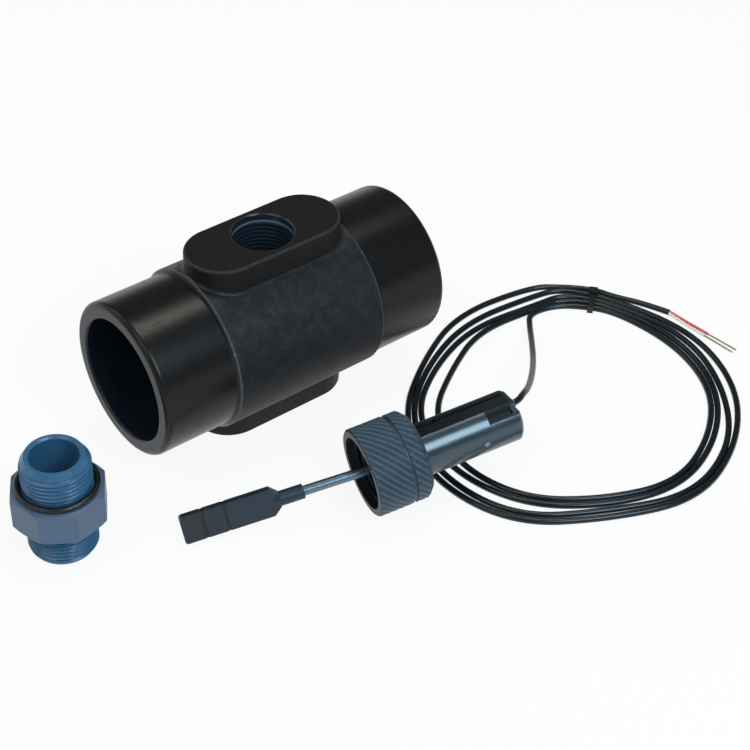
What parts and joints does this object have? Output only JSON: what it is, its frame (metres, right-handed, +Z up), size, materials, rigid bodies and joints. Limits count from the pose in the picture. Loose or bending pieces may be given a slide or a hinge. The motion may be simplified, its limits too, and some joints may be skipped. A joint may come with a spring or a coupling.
{
  "type": "paddle flow switch",
  "caption": "Paddle flow switch kit: pipe tee with a threaded port, double nipple, and a sensor insert with a union nut, a swinging paddle lever and a coiled cable.",
  "frame": {"origin": "centre of the tee's pipe bore, under the sensor port", "axes": "+X along the pipe bore, +Z up out of the sensor port"},
  "size_m": [0.3035, 0.1838, 0.081],
  "materials": {
    "tee_black": "satin black moulded polyethylene",
    "nipple_blue": "satin blue-grey moulded plastic",
    "insert_grey": "satin dark grey glass-filled plastic",
    "nut_grey": "dark grey plastic, knurled",
    "paddle_grey": "dark grey plastic, slightly rough",
    "steel": "drawn stainless steel",
    "seal_rubber": "black rubber",
    "grommet_pale": "pale grey soft plastic",
    "cable_black": "black cable jacket",
    "tie_black": "black nylon",
    "core_red": "red wire insulation",
    "core_white": "white wire insulation",
    "tinned_copper": "tinned copper strands",
    "magnet": "ferrite magnet",
    "board_green": "green circuit board",
    "reed_glass": "clear glass"
  },
  "bodies": {
    "tee": {"tee_body": "tee_black"},
    "nipple": {"nipple_body": "nipple_blue", "nipple_o_ring": "seal_rubber"},
    "sensor": {"sensor_body": "insert_grey", "housing_cover": "insert_grey", "flange_seal": "seal_rubber", "pivot_pin": "steel", "return_magnet": "magnet", "reed_board": "board_green", "reed_glass": "reed_glass", "reed_leads": "steel", "cable_grommet": "grommet_pale", "cable_lead": "cable_black", "cable_coil": "cable_black", "cable_tail": "cable_black", "cable_tie": "tie_black", "red_core": "core_red", "white_core": "core_white", "core_ends": "tinned_copper"},
    "nut": {"union_nut": "nut_grey"},
    "lever": {"lever_head": "insert_grey", "lever_rod": "steel", "paddle_blade": "paddle_grey", "lever_magnet": "magnet"}
  },
  "joints": [
    {"name": "nipple_lift", "type": "slide", "parent": "tee", "child": "nipple", "axis": [0, 0, 1], "range_m": [0, 0.12]},
    {"name": "sensor_lift", "type": "slide", "parent": "tee", "child": "sensor", "axis": [0, -0.7071, 0.7071], "range_m": [0, 0.12]},
    {"name": "nut_spin", "type": "hinge", "parent": "sensor", "child": "nut", "pos_m": [-0.01035, -0.07615, -0.02312], "axis": [0.963, -0.2365, 0.1288], "continuous": true},
    {"name": "paddle_swing", "type": "hinge", "parent": "sensor", "child": "lever", "pos_m": [-0.0012, -0.0784, -0.0219], "axis": [-0.0728, 0.232, 0.97], "range_deg": [0, 13.4], "stiffness_Nm_per_rad": 0.02, "springref_deg": -8.02}
  ]
}
